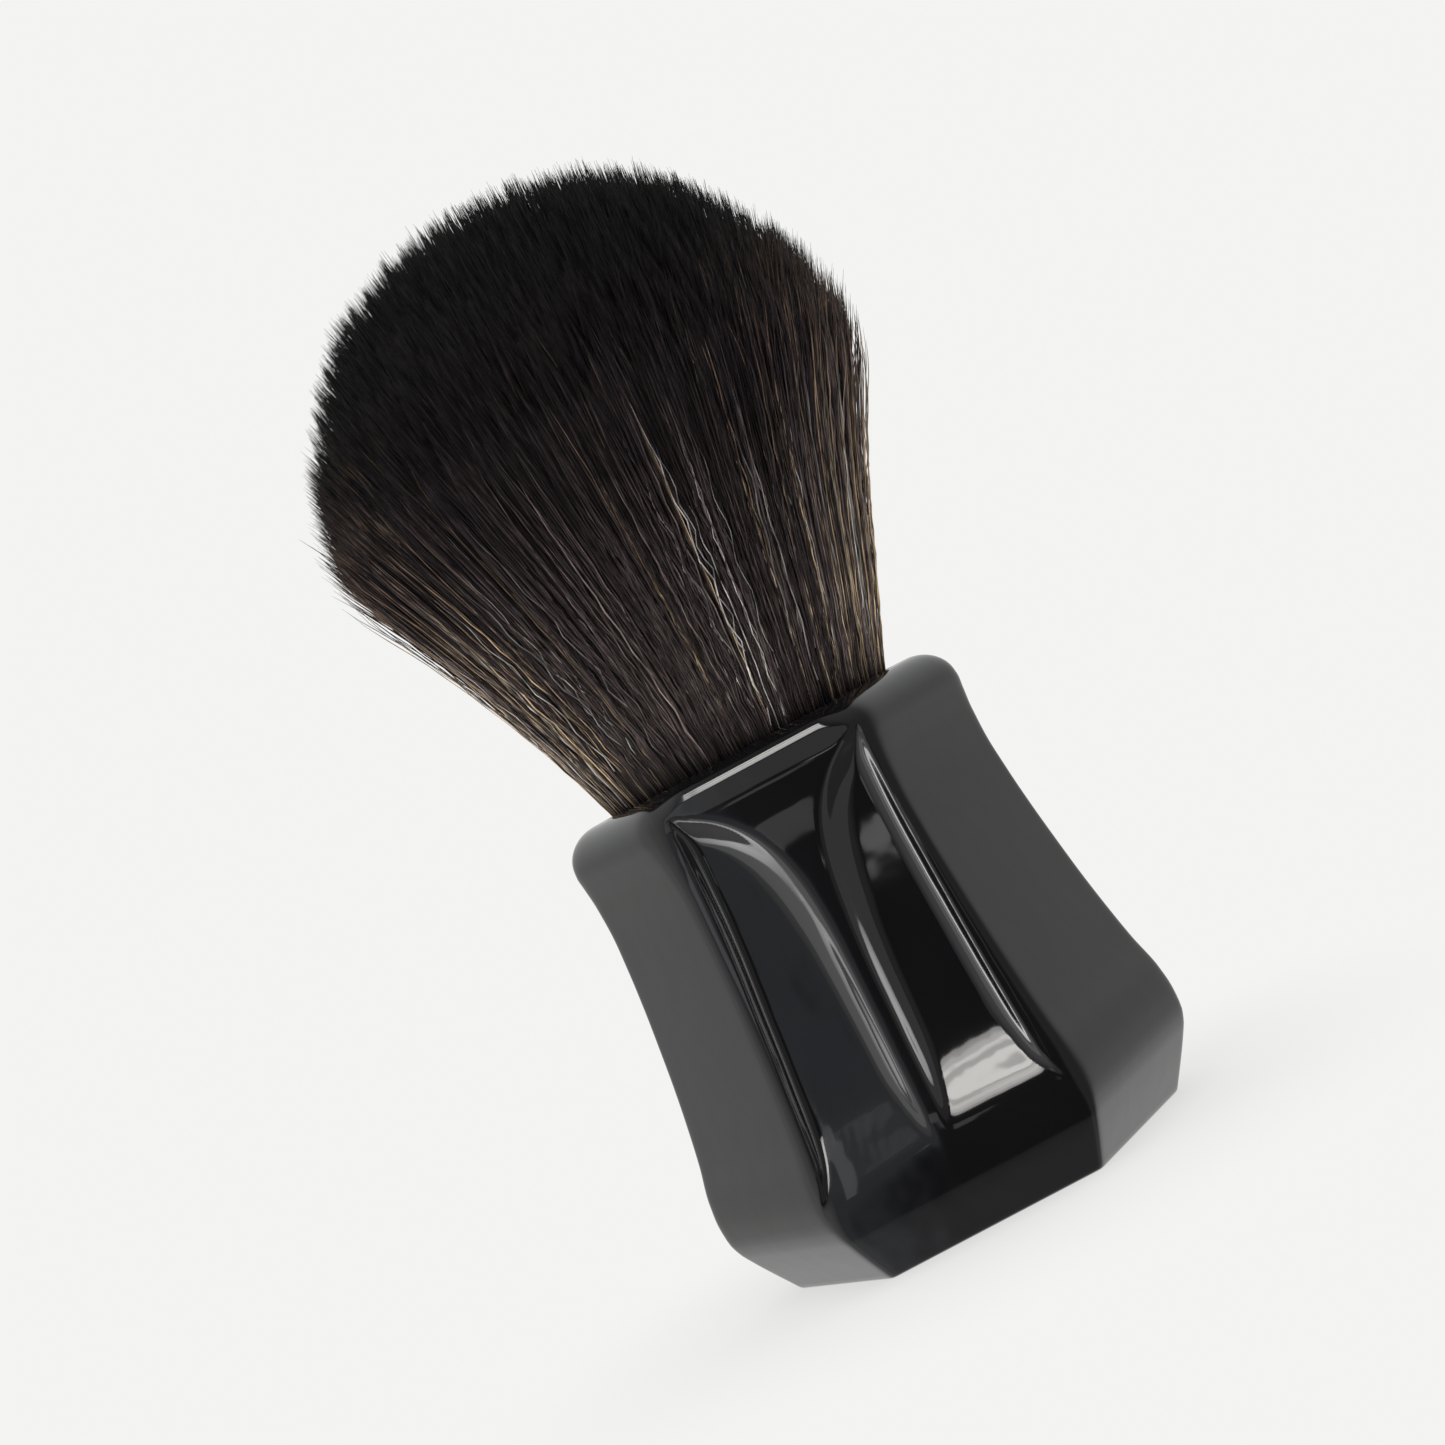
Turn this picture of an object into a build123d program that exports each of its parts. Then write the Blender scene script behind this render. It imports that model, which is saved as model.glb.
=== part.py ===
from build123d import *

import os
from math import cos, radians, sin

# Shaving brush: a six-sided cast resin handle with carved finger pockets and a glued-in synthetic knot.
# The brush stands on its base, Z runs up its axis and the origin is the centre of the base.
# The carved facets face -Y, 30 degrees and 150 degrees, and plain facets lie between them.
# All lengths are in millimetres.

# Handle outline, given as the distance from the axis to the six corners before they are rounded.
HANDLE_HEIGHT = 44.0
BASE_CORNER = 18.5
TAPER_TOP_CORNER, TAPER_TOP_Z = 21.3, 4.1
BELLY_CORNER, BELLY_Z = 22.55, 8.1
FLANK_LOW_CORNER, FLANK_LOW_Z = 21.45, 13.6
FLANK_MID_CORNER, FLANK_MID_Z = 19.75, 23.6
WAIST_CORNER, WAIST_Z = 18.6, 35.0
LIP_CORNER, LIP_Z = 19.1, 41.0
CORNER_ROUND = 2.1
RIM_ROUND = 2.0
BASE_BREAK = 0.25
FLANK_STEPS = 10

# A carved facet is a little wider than a plain one, so it lies nearer the axis for the same corner.
FACETS = 6
CARVED_SHARE = 0.852
PLAIN_SHARE = 0.880

# Finger pockets: one each side of a central rib, which widens towards the rim like a letter Y.
# Each level gives its height, the rib's half width, the outer edge and the depth of the floor.
POCKET_FOOT_LEVELS = ((8.3, 0.90, 10.55, 0.0), (9.7, 0.90, 10.35, 1.45))
POCKET_LEVELS = (
    (9.7, 0.90, 10.35, 1.45),
    (15.0, 0.80, 9.75, 1.60),
    (23.0, 0.85, 9.30, 1.65),
    (30.0, 1.15, 8.85, 1.65),
    (35.0, 1.95, 8.60, 1.60),
    (38.5, 3.95, 8.60, 1.35),
    (40.6, 6.30, 8.70, 0.80),
)
POCKET_TIP_LEVELS = ((40.6, 6.30, 8.70, 0.80), (41.6, 8.10, 8.75, 0.0))
RIB_WALL_RUN = 1.15
OUTER_WALL_RUN = 0.40
NARROWEST_FLOOR = 0.4
CUT_PAST_FACET = 0.6

# Socket for the knot.
SOCKET_RADIUS = 13.2
SOCKET_DEPTH = 16.0
MOUTH_CHAMFER = 1.0

# Knot plug, the adhesive cup round it and the thread that ties the fibres above it.
PLUG_RADIUS = 12.6
PLUG_HEIGHT = 8.0
PLUG_EDGE_ROUND = 1.2
ADHESIVE_FLOOR = 1.2
GLUE_LINE = 0.05
THREAD_RADIUS = 0.25
THREAD_PITCH = 0.55
THREAD_TURNS = 4
THREAD_CENTRE_RADIUS = 12.6
BOUND_FIBRE_RADIUS = 12.3

# Fibre bundle: radius and height above the rim at each turn of its outline.
SOCKET_FIBRE_RADIUS = 12.95
RIM_FIBRE_RADIUS = 13.85
FLARE_RADIUS, FLARE_OVER = 16.2, 6.8
SPREAD_RADIUS, SPREAD_OVER = 21.0, 16.8
BLOOM_RADIUS, BLOOM_OVER = 24.7, 29.0
SHOULDER_RADIUS, SHOULDER_OVER = 21.6, 40.2
DOME_OVER = 53.0

# The bundle bends at two ball-shaped partings.
FRONT_BEND_OVER, FRONT_BALL_RADIUS = 0.0, 19.5
SIDE_BEND_OVER, SIDE_BALL_RADIUS = 18.0, 23.1
BEND_GAP = 0.3

RIM_Z = HANDLE_HEIGHT
SOCKET_FLOOR_Z = RIM_Z - SOCKET_DEPTH
PLUG_LOW_Z = SOCKET_FLOOR_Z + ADHESIVE_FLOOR + GLUE_LINE
PLUG_TOP_Z = PLUG_LOW_Z + PLUG_HEIGHT
THREAD_LOW_Z = PLUG_TOP_Z + 0.6
THREAD_TOP_Z = THREAD_LOW_Z + THREAD_TURNS * THREAD_PITCH
BOUND_TOP_Z = THREAD_TOP_Z + 0.5
FRONT_BEND_Z = RIM_Z + FRONT_BEND_OVER
SIDE_BEND_Z = RIM_Z + SIDE_BEND_OVER


outline = Spline(
    (TAPER_TOP_CORNER, TAPER_TOP_Z),
    (BELLY_CORNER, BELLY_Z),
    (FLANK_LOW_CORNER, FLANK_LOW_Z),
    (FLANK_MID_CORNER, FLANK_MID_Z),
    (WAIST_CORNER, WAIST_Z),
    (LIP_CORNER, LIP_Z),
    tangents=((TAPER_TOP_CORNER - BASE_CORNER, TAPER_TOP_Z), (0.15, 1)),
)


def corner_at(z):
    """Distance from the axis to a corner at this height."""
    if z <= TAPER_TOP_Z:
        return BASE_CORNER + (TAPER_TOP_CORNER - BASE_CORNER) * z / TAPER_TOP_Z
    if z >= LIP_Z:
        return LIP_CORNER
    low, high = 0.0, 1.0
    for _ in range(30):
        middle = (low + high) / 2
        if outline.position_at(middle).Y < z:
            low = middle
        else:
            high = middle
    return outline.position_at(low).X


def facet_share(number):
    """Even facets are carved and odd ones are plain."""
    return CARVED_SHARE if number % 2 == 0 else PLAIN_SHARE


def corner_points(z):
    """The six corners of the handle at this height, where neighbouring facets meet."""
    points = []
    for number in range(FACETS):
        first = radians(-90 + 360 / FACETS * number)
        second = first + radians(360 / FACETS)
        out_first = facet_share(number) * corner_at(z)
        out_second = facet_share(number + 1) * corner_at(z)
        across = sin(second - first)
        x = (out_first * sin(second) - out_second * sin(first)) / across
        y = (out_second * cos(first) - out_first * cos(second)) / across
        points.append((x, y))
    return points


def draw_pocket_level(rib_edge, outer_edge, distance, depth, side):
    """One level slice through a pocket, reaching out past the facet."""
    floor_inner = rib_edge + RIB_WALL_RUN * depth
    floor_outer = outer_edge - OUTER_WALL_RUN * depth
    floor_inner = min(floor_inner, floor_outer - NARROWEST_FLOOR)
    Polyline(
        (side * rib_edge, -distance - CUT_PAST_FACET),
        (side * rib_edge, -distance),
        (side * floor_inner, -distance + depth + 0.01),
        (side * floor_outer, -distance + depth + 0.01),
        (side * outer_edge, -distance),
        (side * outer_edge, -distance - CUT_PAST_FACET),
        close=True,
    )


with BuildPart() as handle_body:
    for step in range(FLANK_STEPS + 1):
        level_z = LIP_Z * step / FLANK_STEPS
        with BuildSketch(Plane.XY.offset(level_z)) as level:
            Polygon(*corner_points(level_z), align=None)
            fillet(level.vertices(), CORNER_ROUND)
    loft()
    extrude(handle_body.faces().sort_by(Axis.Z)[-1], amount=HANDLE_HEIGHT - LIP_Z)
    fillet(handle_body.edges().group_by(Axis.Z)[-1], RIM_ROUND)
    chamfer(handle_body.edges().group_by(Axis.Z)[0], BASE_BREAK)

    # Socket with a chamfered mouth.
    with Locations((0, 0, SOCKET_FLOOR_Z)):
        Cylinder(
            SOCKET_RADIUS,
            SOCKET_DEPTH,
            align=(Align.CENTER, Align.CENTER, Align.MIN),
            mode=Mode.SUBTRACT,
        )
    mouth = handle_body.edges().filter_by(GeomType.CIRCLE).filter_by_position(Axis.Z, RIM_Z - 0.01, RIM_Z)
    chamfer(mouth.sort_by(SortBy.RADIUS)[-1], MOUTH_CHAMFER)

    # Pockets on the carved facets.
    for facet in range(0, FACETS, 2):
        for side in (-1, 1):
            for levels in (POCKET_FOOT_LEVELS, POCKET_LEVELS, POCKET_TIP_LEVELS):
                slices = []
                for z, rib_edge, outer_edge, depth in levels:
                    level_plane = Plane.XY.offset(z).rotated((0, 0, 360 / FACETS * facet))
                    with BuildSketch(level_plane, mode=Mode.PRIVATE) as level:
                        with BuildLine():
                            draw_pocket_level(rib_edge, outer_edge, CARVED_SHARE * corner_at(z), depth, side)
                        make_face()
                    slices.append(level.sketch)
                loft(sections=slices, ruled=len(slices) == 2, mode=Mode.SUBTRACT)
handle_body.part.label = "handle_body"

with BuildPart() as socket_adhesive:
    with Locations((0, 0, SOCKET_FLOOR_Z + GLUE_LINE)):
        Cylinder(
            SOCKET_RADIUS - GLUE_LINE,
            ADHESIVE_FLOOR - GLUE_LINE + PLUG_HEIGHT,
            align=(Align.CENTER, Align.CENTER, Align.MIN),
        )
    with Locations((0, 0, SOCKET_FLOOR_Z + ADHESIVE_FLOOR)):
        Cylinder(
            PLUG_RADIUS + GLUE_LINE,
            SOCKET_DEPTH,
            align=(Align.CENTER, Align.CENTER, Align.MIN),
            mode=Mode.SUBTRACT,
        )
socket_adhesive.part.label = "socket_adhesive"

with BuildPart() as knot_plug:
    with Locations((0, 0, PLUG_LOW_Z)):
        Cylinder(PLUG_RADIUS, PLUG_HEIGHT, align=(Align.CENTER, Align.CENTER, Align.MIN))
    fillet(knot_plug.edges().group_by(Axis.Z)[0], PLUG_EDGE_ROUND)
knot_plug.part.label = "knot_plug"

with BuildPart() as binding_thread:
    with BuildLine() as wrap:
        Helix(
            pitch=THREAD_PITCH,
            height=THREAD_TURNS * THREAD_PITCH,
            radius=THREAD_CENTRE_RADIUS,
            center=(0, 0, THREAD_LOW_Z),
        )
    with BuildSketch(Plane(origin=wrap.line @ 0, z_dir=wrap.line % 0)):
        Circle(THREAD_RADIUS)
    sweep(path=wrap.line, is_frenet=True)
binding_thread.part.label = "binding_thread"


def draw_fibre_outline():
    """Half of the whole bundle's outline, from the plug to the top of the dome, drawn on the axis side too."""
    low = Polyline(
        (0, PLUG_TOP_Z + GLUE_LINE),
        (BOUND_FIBRE_RADIUS, PLUG_TOP_Z + GLUE_LINE),
        (BOUND_FIBRE_RADIUS, BOUND_TOP_Z),
        (SOCKET_FIBRE_RADIUS, BOUND_TOP_Z + 0.8),
        (SOCKET_FIBRE_RADIUS, RIM_Z - MOUTH_CHAMFER),
        (RIM_FIBRE_RADIUS, RIM_Z),
    )
    skirt = Spline(
        low @ 1,
        (FLARE_RADIUS, RIM_Z + FLARE_OVER),
        (SPREAD_RADIUS, RIM_Z + SPREAD_OVER),
        (BLOOM_RADIUS, RIM_Z + BLOOM_OVER),
        tangents=((0.25, 1), (0, 1)),
    )
    dome = Spline(
        skirt @ 1,
        (SHOULDER_RADIUS, RIM_Z + SHOULDER_OVER),
        (0, RIM_Z + DOME_OVER),
        tangents=((0, 1), (-1, 0)),
    )
    Line(dome @ 1, low @ 0)


with BuildPart() as fibre_root:
    with BuildSketch(Plane.XZ):
        with BuildLine():
            draw_fibre_outline()
        make_face()
        with Locations((0, FRONT_BEND_Z)):
            Circle(FRONT_BALL_RADIUS - BEND_GAP / 2, mode=Mode.INTERSECT)
    revolve(axis=Axis.Z)
fibre_root.part.label = "fibre_root"

with BuildPart() as fibre_belly:
    with BuildSketch(Plane.XZ):
        with BuildLine():
            draw_fibre_outline()
        make_face()
        with Locations((0, FRONT_BEND_Z)):
            Circle(FRONT_BALL_RADIUS + BEND_GAP / 2, mode=Mode.SUBTRACT)
        with Locations((0, SIDE_BEND_Z)):
            Circle(SIDE_BALL_RADIUS - BEND_GAP / 2, mode=Mode.INTERSECT)
    revolve(axis=Axis.Z)
fibre_belly.part.label = "fibre_belly"

with BuildPart() as fibre_crown:
    with BuildSketch(Plane.XZ):
        with BuildLine():
            draw_fibre_outline()
        make_face()
        with Locations((0, SIDE_BEND_Z)):
            Circle(SIDE_BALL_RADIUS + BEND_GAP / 2, mode=Mode.SUBTRACT)
        Rectangle(4 * BLOOM_RADIUS, 2 * SIDE_BEND_Z, mode=Mode.SUBTRACT)
    revolve(axis=Axis.Z)
fibre_crown.part.label = "fibre_crown"

os.makedirs("parts", exist_ok=True)
export_step(handle_body.part, "parts/handle_body.step")
export_step(socket_adhesive.part, "parts/socket_adhesive.step")
export_step(knot_plug.part, "parts/knot_plug.step")
export_step(binding_thread.part, "parts/binding_thread.step")
export_step(fibre_root.part, "parts/fibre_root.step")
export_step(fibre_belly.part, "parts/fibre_belly.step")
export_step(fibre_crown.part, "parts/fibre_crown.step")
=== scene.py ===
import math

import bmesh
import bpy
import numpy as np
from mathutils import Matrix, Vector


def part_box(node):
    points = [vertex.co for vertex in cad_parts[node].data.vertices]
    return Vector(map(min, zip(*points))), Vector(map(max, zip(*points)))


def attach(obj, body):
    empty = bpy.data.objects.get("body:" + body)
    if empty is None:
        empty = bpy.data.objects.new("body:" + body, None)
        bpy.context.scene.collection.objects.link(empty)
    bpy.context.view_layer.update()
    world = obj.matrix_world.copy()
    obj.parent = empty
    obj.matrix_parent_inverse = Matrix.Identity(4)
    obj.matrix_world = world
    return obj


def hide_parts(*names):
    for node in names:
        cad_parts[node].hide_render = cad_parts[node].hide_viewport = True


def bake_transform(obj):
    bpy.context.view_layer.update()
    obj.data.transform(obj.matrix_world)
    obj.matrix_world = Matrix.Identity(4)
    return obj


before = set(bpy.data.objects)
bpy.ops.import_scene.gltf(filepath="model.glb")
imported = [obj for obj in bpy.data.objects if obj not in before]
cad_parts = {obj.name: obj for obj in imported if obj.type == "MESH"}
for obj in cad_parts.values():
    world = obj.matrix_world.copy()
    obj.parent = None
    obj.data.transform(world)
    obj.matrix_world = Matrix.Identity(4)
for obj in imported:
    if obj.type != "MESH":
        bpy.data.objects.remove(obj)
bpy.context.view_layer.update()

# ---------------------------------------------------------------- sizes in millimetres, in the CAD frame
MM = 0.001
_, handle_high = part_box("handle_body")
RIM = handle_high.z / MM  # height of the handle's rim
SOCKET_R = 13.2
MOUTH_R = 14.2
FACETS = 6
FACET_STEP = 360 / FACETS
FRONT = -90  # the way that facet 0 faces, in degrees from the X axis; facets 0, 2 and 4 are carved
CARVED, PLAIN = 0.852, 0.880  # distance from the axis to a facet, as a share of the corner size


# ---------------------------------------------------------------- curves and meshes
def smooth_curve(points):
    """A smooth curve through (x, y) points that doesn't overshoot, as a function of x."""
    x = np.array([point[0] for point in points], float)
    y = np.array([point[1] for point in points], float)
    gap = np.diff(x)
    slope = np.diff(y) / gap
    tangent = np.zeros_like(y)
    tangent[0], tangent[-1] = slope[0], slope[-1]
    for i in range(1, len(x) - 1):
        if slope[i - 1] * slope[i] > 0:
            before, after = 2 * gap[i] + gap[i - 1], gap[i] + 2 * gap[i - 1]
            tangent[i] = (before + after) / (before / slope[i - 1] + after / slope[i])

    def value(at):
        at = np.clip(np.asarray(at, float), x[0], x[-1])
        i = np.clip(np.searchsorted(x, at, side="right") - 1, 0, len(x) - 2)
        t = (at - x[i]) / gap[i]
        return (
            y[i] * (1 + 2 * t) * (1 - t) ** 2
            + gap[i] * tangent[i] * t * (1 - t) ** 2
            + y[i + 1] * t * t * (3 - 2 * t)
            + gap[i] * tangent[i + 1] * t * t * (t - 1)
        )

    return value


def soft_step(t):
    """From 0 to 1, with a rounded start and a rounded end."""
    t = np.clip(t, 0, 1)
    return t * t * (3 - 2 * t)


def new_mesh(name, points, faces):
    """A smooth-shaded object from points in millimetres and an array of faces."""
    faces = np.asarray(faces, np.int32)
    mesh = bpy.data.meshes.new(name)
    mesh.vertices.add(len(points))
    mesh.vertices.foreach_set("co", (np.asarray(points, np.float64) * MM).astype(np.float32).ravel())
    sides = faces.shape[1]
    mesh.loops.add(faces.size)
    mesh.loops.foreach_set("vertex_index", faces.ravel())
    mesh.polygons.add(len(faces))
    mesh.polygons.foreach_set("loop_start", np.arange(0, faces.size, sides, dtype=np.int32))
    mesh.polygons.foreach_set("use_smooth", np.full(len(faces), True))
    mesh.update(calc_edges=True)
    mesh.validate()
    obj = bpy.data.objects.new(name, mesh)
    bpy.context.scene.collection.objects.link(obj)
    return obj


def ring_faces(rings, around):
    """Quads between rings of points that follow each other, with so many points around each ring."""
    first = np.arange(rings - 1)[:, None] * around
    this = np.arange(around)[None, :]
    beside = (this + 1) % around
    quads = [first + this, first + beside, first + around + beside, first + around + this]
    return np.stack(quads, -1).reshape(-1, 4)


# ---------------------------------------------------------------- materials
def material(name):
    """A new material, its node tree and its Principled shader."""
    mat = bpy.data.materials.new(name)
    mat.use_nodes = True
    return mat, mat.node_tree, mat.node_tree.nodes["Principled BSDF"]


def link(tree, source, target):
    tree.links.new(source, target)


def math_node(tree, operation, a, b=None):
    """A math node's result; each of a and b is a socket or a number."""
    node = tree.nodes.new("ShaderNodeMath")
    node.operation = operation
    for number, value in enumerate((a, b)):
        if value is None:
            continue
        if isinstance(value, (int, float)):
            node.inputs[number].default_value = value
        else:
            link(tree, value, node.inputs[number])
    return node.outputs[0]


def span_node(tree, value, low, high, out_low, out_high):
    """A number between low and high moved to between out_low and out_high."""
    node = tree.nodes.new("ShaderNodeMapRange")
    for name, number in (("From Min", low), ("From Max", high), ("To Min", out_low), ("To Max", out_high)):
        node.inputs[name].default_value = number
    link(tree, value, node.inputs["Value"])
    return node.outputs["Result"]


def ramp_node(tree, source, low, high, stops, sharp=False):
    """A colour ramp over a number from low to high, with rising stops, each (value, grey or colour)."""
    ramp = tree.nodes.new("ShaderNodeValToRGB")
    ramp.color_ramp.interpolation = "CONSTANT" if sharp else "LINEAR"
    link(tree, span_node(tree, source, low, high, 0, 1), ramp.inputs["Fac"])
    elements = ramp.color_ramp.elements
    # a new ramp has a first and a last stop; the others are added between them
    for number, (value, colour) in enumerate([stops[0], stops[-1]] + stops[1:-1]):
        at = (value - low) / (high - low)
        stop = elements[number] if number < 2 else elements.new(at)
        stop.position = at
        stop.color = (*colour, 1) if isinstance(colour, tuple) else (colour, colour, colour, 1)
    return ramp.outputs["Color"]


def times(tree, a, b):
    """Two colours multiplied."""
    node = tree.nodes.new("ShaderNodeVectorMath")
    node.operation = "MULTIPLY"
    link(tree, a, node.inputs[0])
    link(tree, b, node.inputs[1])
    return node.outputs["Vector"]


def mix_node(tree, factor, a, b, blend="MIX"):
    """Two colours mixed; the factor is a socket or a number."""
    node = tree.nodes.new("ShaderNodeMix")
    node.data_type = "RGBA"
    node.blend_type = blend
    if isinstance(factor, (int, float)):
        node.inputs["Factor"].default_value = factor
    else:
        link(tree, factor, node.inputs["Factor"])
    link(tree, a, node.inputs["A"])
    link(tree, b, node.inputs["B"])
    return node.outputs["Result"]


def noise_node(tree, coordinates, scale, detail):
    """Noise on the piece's own coordinates, from 0 to 1."""
    node = tree.nodes.new("ShaderNodeTexNoise")
    node.inputs["Scale"].default_value = scale
    node.inputs["Detail"].default_value = detail
    link(tree, coordinates.outputs["Object"], node.inputs["Vector"])
    return node.outputs["Fac"]


def bump_node(tree, height, strength, distance, shader):
    """Bump from a height between 0 and 1; distance in metres."""
    bump = tree.nodes.new("ShaderNodeBump")
    bump.inputs["Strength"].default_value = strength
    bump.inputs["Distance"].default_value = distance
    link(tree, height, bump.inputs["Height"])
    link(tree, bump.outputs["Normal"], shader.inputs["Normal"])


def resin_material():
    """The handle's polished black resin, with a faint cloud in its colour and a faintly uneven gloss."""
    mat, tree, shader = material("cast_resin_black")
    shader.inputs["IOR"].default_value = 1.5
    coordinates = tree.nodes.new("ShaderNodeTexCoord")
    cloud = noise_node(tree, coordinates, 55, 4)
    tone = ramp_node(
        tree, cloud, 0, 1, [(0.35, (0.0028, 0.0028, 0.0034)), (0.65, (0.0046, 0.0044, 0.0050))]
    )
    link(tree, tone, shader.inputs["Base Color"])
    polish = noise_node(tree, coordinates, 260, 3)
    link(tree, span_node(tree, polish, 0, 1, 0.045, 0.085), shader.inputs["Roughness"])
    bump_node(tree, noise_node(tree, coordinates, 330, 1), 0.05, 0.0004, shader)
    return mat


def cast_material(name, dark, light, scale, roughness, bump):
    """A poured, hardened resin with a cloudy tone."""
    mat, tree, shader = material(name)
    coordinates = tree.nodes.new("ShaderNodeTexCoord")
    cloud = noise_node(tree, coordinates, scale, 4)
    link(tree, ramp_node(tree, cloud, 0, 1, [(0.3, dark), (0.7, light)]), shader.inputs["Base Color"])
    link(tree, span_node(tree, cloud, 0, 1, roughness, roughness + 0.15), shader.inputs["Roughness"])
    bump_node(tree, noise_node(tree, coordinates, scale * 6, 2), bump, 0.0005, shader)
    return mat


BAND_PITCH = 0.0006  # metres from one light band of the thread to the next
WAVE_PERIOD = 0.314  # a wave texture of scale 1 repeats after this length


def thread_material():
    """Waxed thread wound in close turns, as light and dark bands along the axis."""
    mat, tree, shader = material("waxed_thread")
    coordinates = tree.nodes.new("ShaderNodeTexCoord")
    turns = tree.nodes.new("ShaderNodeTexWave")
    turns.bands_direction = "Z"
    turns.inputs["Scale"].default_value = WAVE_PERIOD / BAND_PITCH
    turns.inputs["Distortion"].default_value = 0.6
    link(tree, coordinates.outputs["Object"], turns.inputs["Vector"])
    height = turns.outputs["Fac"]
    tone = ramp_node(tree, height, 0, 1, [(0.1, (0.03, 0.025, 0.02)), (0.9, (0.16, 0.14, 0.11))])
    link(tree, tone, shader.inputs["Base Color"])
    wax = noise_node(tree, coordinates, 1500, 2)
    link(tree, span_node(tree, wax, 0, 1, 0.45, 0.75), shader.inputs["Roughness"])
    bump_node(tree, height, 0.6, 0.0002, shader)
    return mat


def dress(node, mat):
    """Gives a CAD node that stays one material all over."""
    slots = bpy.data.objects[node].material_slots
    for slot in slots:
        slot.material = mat
    if not slots:
        bpy.data.objects[node].data.materials.append(mat)


dress("socket_adhesive", cast_material("epoxy_bed", (0.20, 0.13, 0.05), (0.36, 0.25, 0.11), 180, 0.2, 0.1))
dress("knot_plug", cast_material("plug_resin", (0.035, 0.033, 0.03), (0.07, 0.065, 0.06), 240, 0.4, 0.2))
dress("binding_thread", thread_material())


# ---------------------------------------------------------------- handle
# distance from the axis to a corner, by height
corner = smooth_curve(
    [(0, 18.5), (4.1, 21.3), (5.2, 21.95), (6.6, 22.42), (8.1, 22.55), (10.2, 22.3), (13.6, 21.45),
     (17.1, 20.75), (20.6, 20.15), (24.1, 19.65), (28.0, 19.15), (31.5, 18.8), (35.0, 18.6), (37.6, 18.7),
     (39.6, 18.98), (40.8, 19.17), (42.0, 19.12), (44.0, 18.98)]
)
# how sharp the corners are, by height
sharpness = smooth_curve(
    [(0, 120), (5, 100), (8, 62), (12, 85), (30, 105), (36, 72), (40, 38), (42, 26), (44, 18)]
)
POWER_SCALE = 19.0  # near the corner size, so that its powers stay in range
LEAST_FACING = 0.05  # a facet turned further away than this cosine plays no part

BASE_SHARES = (0.02, 0.5, 0.97)  # rings of the base, as shares of its outline
BASE_EDGE = ((0.0, 0.22), (0.06, 0.06), (0.22, 0.0))  # (height, inset) round the base's broken edge
TAPER_LEVELS = np.arange(0.6, 6.6, 0.4)
FLANK_FOOT, ROW_STEP = 6.8, 0.26
LIP_ROUND = 2.6
CARVED_LIP_LESS = 0.9  # how much smaller the lip's rounding is over a carved facet
LIP_CHANGE_END, LIP_CHANGE_RUN = 30, 9  # where it has changed, in degrees from the facet's middle
LIP_ROWS = 19
LIP_LEAN = 1.12  # the lip's inset at the corners, over its inset on the facets
CARVE_REACH = math.radians(32)  # how far round from a carved facet's middle its pockets may go
RIM_SHARES = (0.25, 0.6, 0.93)  # rings of the flat rim, from its outline in to the socket's mouth
# the chamfered mouth, the wall and the floor of the socket: (radius, depth below the rim)
SOCKET_PROFILE = (
    (MOUTH_R, 0.03), (SOCKET_R + 0.05, 0.98), (SOCKET_R, 1.1), (SOCKET_R, 15.95), (SOCKET_R - 0.05, 16.0),
    (0.3, 16.0),
)

# columns of the handle's mesh
FLAT_HALF_WIDTH = 0.524  # of a carved facet, as a share of the corner size
CARVED_COLUMNS, PLAIN_COLUMNS = 150, 32
# where a carved facet has more columns: (share of its half width, how many more, how wide a stretch)
DENSE_PLACES = ((0.9, 2.2, 0.045), (0.09, 1.3, 0.09))

# the two pockets of a carved facet, by height; across it, they are measured from the rib's middle
rib_edge = smooth_curve(
    [(8, 0.75), (12, 0.7), (22, 0.72), (26, 0.8), (30, 1.05), (32.5, 1.4), (34.7, 1.95), (36.9, 2.95),
     (39.2, 4.8), (40.8, 7.0), (41.8, 9.0), (43.0, 12.0)]
)
rib_middle = smooth_curve([(8, -0.35), (12.7, -0.25), (21.5, 0.02), (30, 0.37), (37, 0.6), (43, 0.85)])
rib_wall = smooth_curve(
    [(8, 2.0), (15.7, 2.1), (20.4, 2.3), (26, 2.6), (30, 3.0), (34, 3.2), (38, 2.7), (42, 2.0)]
)
outer_edge = smooth_curve(
    [(7, 11.6), (8.6, 11.15), (9.8, 10.6), (11.7, 10.15), (14, 9.95), (18.8, 9.6), (25, 9.2), (30, 8.9),
     (34, 8.75), (38, 8.7), (42, 8.85), (43, 8.9)]
)
pocket_depth = smooth_curve([(8, 0.95), (12, 1.0), (20, 1.03), (32, 1.05), (38, 1.0), (42, 0.85)])
OUTER_SHIFT = 0.2  # both outer edges lie this much further left
RIGHT_WALL, LEFT_WALL = 1.8, 1.25  # how far the outer walls run before they reach the floor
FOOT_WALL = 7.0  # how far the slope at the foot runs
RIGHT_FOOT, RIGHT_FOOT_DROP, DROP_FROM, DROP_RUN = 9.55, 0.5, 9.4, 1.4
LEFT_FOOT, LEFT_FOOT_FALL = 9.3, 0.16
STEEP_SHARE = 0.22  # the part of a wall that is straight
BLEND = 9.0  # how sharply the walls of a pocket meet
EDGE_SOFTNESS, CRISP_SOFTNESS = 0.055, 0.022  # rounding of a pocket's edges, and of its outer one
CRISP_REACH = 0.3
FLOOR_TILT, TILT_CENTRE = 0.02, 5  # how much the floor deepens away from the rib, and where it has no change
LONG_WAVE, CROSS_WAVE, FOOT_RIPPLE = 0.006, 0.004, 0.0022  # heights of the floor's waves and ripples
RIPPLE_TOP, RIPPLE_FADE = 16.5, 3
SLOPE_STEP = 0.05


def facet_angle(facet):
    """The way a facet faces."""
    return math.radians(FRONT + FACET_STEP * facet)


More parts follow.
